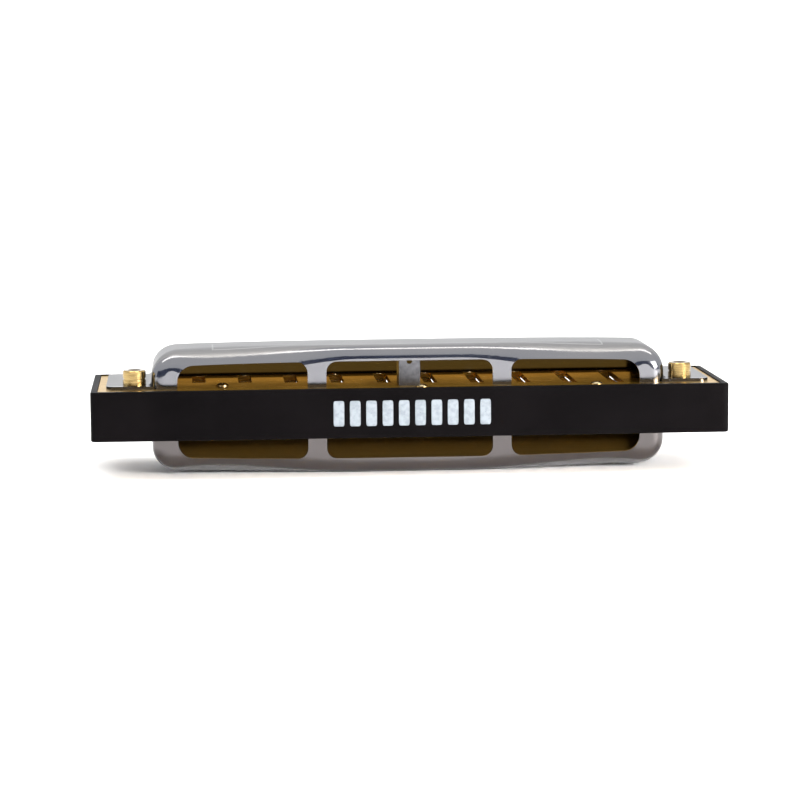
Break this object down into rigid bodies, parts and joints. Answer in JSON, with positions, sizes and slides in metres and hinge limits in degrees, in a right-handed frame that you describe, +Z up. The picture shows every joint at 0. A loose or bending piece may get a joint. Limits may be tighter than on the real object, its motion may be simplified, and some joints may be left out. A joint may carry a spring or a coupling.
{
  "type": "harmonica",
  "caption": "Small mouth organ with a moulded comb of air channels, brass reed plates with free reeds, and two pressed steel covers open at the rear.",
  "frame": {"origin": "under the middle of the harmonica, on the surface that the lower cover's crown rests on", "axes": "+X along the length towards hole 1 (the lowest notes), +Y out of the mouthpiece, +Z up from the lower cover to the upper cover"},
  "size_m": [0.102, 0.0274, 0.0206],
  "materials": {
    "comb_plastic": "satin moulded plastic, black",
    "reed_plate_brass": "rolled brass plate, lightly tarnished",
    "reed_brass": "milled and filed spring brass",
    "rivet_brass": "turned brass",
    "cover_steel": "stainless steel, brushed lengthwise on the crown and polished at the rear",
    "brace_steel": "dark satin steel",
    "screw_steel": "nickelled machine screw",
    "nut_brass": "polished pale brass",
    "plate_screw_brass": "pale brass"
  },
  "bodies": {
    "root": {"comb": "comb_plastic", "upper_reed_plate": "reed_plate_brass", "lower_reed_plate": "reed_plate_brass", "blow_reed_pads": "reed_brass", "draw_reed_pads": "reed_brass", "blow_reed_rivets": "rivet_brass", "draw_reed_rivets": "rivet_brass", "upper_cover": "cover_steel", "lower_cover": "cover_steel", "cover_brace": "brace_steel", "cover_screw_left": "screw_steel", "cover_screw_right": "screw_steel", "cover_nut_left": "nut_brass", "cover_nut_right": "nut_brass", "plate_screws": "plate_screw_brass"},
    "blow_reed_1": {"blow_reed_1": "reed_brass"},
    "blow_reed_2": {"blow_reed_2": "reed_brass"},
    "blow_reed_3": {"blow_reed_3": "reed_brass"},
    "blow_reed_4": {"blow_reed_4": "reed_brass"},
    "blow_reed_5": {"blow_reed_5": "reed_brass"},
    "blow_reed_6": {"blow_reed_6": "reed_brass"},
    "blow_reed_7": {"blow_reed_7": "reed_brass"},
    "blow_reed_8": {"blow_reed_8": "reed_brass"},
    "blow_reed_9": {"blow_reed_9": "reed_brass"},
    "blow_reed_10": {"blow_reed_10": "reed_brass"},
    "draw_reed_1": {"draw_reed_1": "reed_brass"},
    "draw_reed_2": {"draw_reed_2": "reed_brass"},
    "draw_reed_3": {"draw_reed_3": "reed_brass"},
    "draw_reed_4": {"draw_reed_4": "reed_brass"},
    "draw_reed_5": {"draw_reed_5": "reed_brass"},
    "draw_reed_6": {"draw_reed_6": "reed_brass"},
    "draw_reed_7": {"draw_reed_7": "reed_brass"},
    "draw_reed_8": {"draw_reed_8": "reed_brass"},
    "draw_reed_9": {"draw_reed_9": "reed_brass"},
    "draw_reed_10": {"draw_reed_10": "reed_brass"}
  },
  "joints": [
    {"name": "blow_reed_1_flex", "type": "hinge", "parent": "root", "child": "blow_reed_1", "pos_m": [0.03375, 0.0091, 0.01293], "axis": [1, 0, 0], "range_deg": [-3, 3], "stiffness_Nm_per_rad": 0.0281},
    {"name": "blow_reed_2_flex", "type": "hinge", "parent": "root", "child": "blow_reed_2", "pos_m": [0.02625, 0.0091, 0.01293], "axis": [1, 0, 0], "range_deg": [-2.89, 2.89], "stiffness_Nm_per_rad": 0.0297},
    {"name": "blow_reed_3_flex", "type": "hinge", "parent": "root", "child": "blow_reed_3", "pos_m": [0.01875, 0.0091, 0.01293], "axis": [1, 0, 0], "range_deg": [-2.78, 2.78], "stiffness_Nm_per_rad": 0.0315},
    {"name": "blow_reed_4_flex", "type": "hinge", "parent": "root", "child": "blow_reed_4", "pos_m": [0.01125, 0.0091, 0.01293], "axis": [1, 0, 0], "range_deg": [-2.67, 2.67], "stiffness_Nm_per_rad": 0.0335},
    {"name": "blow_reed_5_flex", "type": "hinge", "parent": "root", "child": "blow_reed_5", "pos_m": [0.00375, 0.0091, 0.01293], "axis": [1, 0, 0], "range_deg": [-2.56, 2.56], "stiffness_Nm_per_rad": 0.0358},
    {"name": "blow_reed_6_flex", "type": "hinge", "parent": "root", "child": "blow_reed_6", "pos_m": [-0.00375, 0.0091, 0.01293], "axis": [1, 0, 0], "range_deg": [-2.44, 2.44], "stiffness_Nm_per_rad": 0.0384},
    {"name": "blow_reed_7_flex", "type": "hinge", "parent": "root", "child": "blow_reed_7", "pos_m": [-0.01125, 0.0091, 0.01293], "axis": [1, 0, 0], "range_deg": [-2.33, 2.33], "stiffness_Nm_per_rad": 0.0415},
    {"name": "blow_reed_8_flex", "type": "hinge", "parent": "root", "child": "blow_reed_8", "pos_m": [-0.01875, 0.0091, 0.01293], "axis": [1, 0, 0], "range_deg": [-2.22, 2.22], "stiffness_Nm_per_rad": 0.0451},
    {"name": "blow_reed_9_flex", "type": "hinge", "parent": "root", "child": "blow_reed_9", "pos_m": [-0.02625, 0.0091, 0.01293], "axis": [1, 0, 0], "range_deg": [-2.11, 2.11], "stiffness_Nm_per_rad": 0.0493},
    {"name": "blow_reed_10_flex", "type": "hinge", "parent": "root", "child": "blow_reed_10", "pos_m": [-0.03375, 0.0091, 0.01293], "axis": [1, 0, 0], "range_deg": [-2, 2], "stiffness_Nm_per_rad": 0.0544},
    {"name": "draw_reed_1_flex", "type": "hinge", "parent": "root", "child": "draw_reed_1", "pos_m": [0.03375, -0.008, 0.00633], "axis": [1, 0, 0], "range_deg": [-3, 3], "stiffness_Nm_per_rad": 0.0281},
    {"name": "draw_reed_2_flex", "type": "hinge", "parent": "root", "child": "draw_reed_2", "pos_m": [0.02625, -0.00709, 0.00633], "axis": [1, 0, 0], "range_deg": [-2.89, 2.89], "stiffness_Nm_per_rad": 0.0297},
    {"name": "draw_reed_3_flex", "type": "hinge", "parent": "root", "child": "draw_reed_3", "pos_m": [0.01875, -0.00618, 0.00633], "axis": [1, 0, 0], "range_deg": [-2.78, 2.78], "stiffness_Nm_per_rad": 0.0315},
    {"name": "draw_reed_4_flex", "type": "hinge", "parent": "root", "child": "draw_reed_4", "pos_m": [0.01125, -0.00527, 0.00633], "axis": [1, 0, 0], "range_deg": [-2.67, 2.67], "stiffness_Nm_per_rad": 0.0335},
    {"name": "draw_reed_5_flex", "type": "hinge", "parent": "root", "child": "draw_reed_5", "pos_m": [0.00375, -0.00436, 0.00633], "axis": [1, 0, 0], "range_deg": [-2.56, 2.56], "stiffness_Nm_per_rad": 0.0358},
    {"name": "draw_reed_6_flex", "type": "hinge", "parent": "root", "child": "draw_reed_6", "pos_m": [-0.00375, -0.00344, 0.00633], "axis": [1, 0, 0], "range_deg": [-2.44, 2.44], "stiffness_Nm_per_rad": 0.0384},
    {"name": "draw_reed_7_flex", "type": "hinge", "parent": "root", "child": "draw_reed_7", "pos_m": [-0.01125, -0.00253, 0.00633], "axis": [1, 0, 0], "range_deg": [-2.33, 2.33], "stiffness_Nm_per_rad": 0.0415},
    {"name": "draw_reed_8_flex", "type": "hinge", "parent": "root", "child": "draw_reed_8", "pos_m": [-0.01875, -0.00162, 0.00633], "axis": [1, 0, 0], "range_deg": [-2.22, 2.22], "stiffness_Nm_per_rad": 0.0451},
    {"name": "draw_reed_9_flex", "type": "hinge", "parent": "root", "child": "draw_reed_9", "pos_m": [-0.02625, -0.00071, 0.00633], "axis": [1, 0, 0], "range_deg": [-2.11, 2.11], "stiffness_Nm_per_rad": 0.0493},
    {"name": "draw_reed_10_flex", "type": "hinge", "parent": "root", "child": "draw_reed_10", "pos_m": [-0.03375, 0.0002, 0.00633], "axis": [1, 0, 0], "range_deg": [-2, 2], "stiffness_Nm_per_rad": 0.0544}
  ]
}
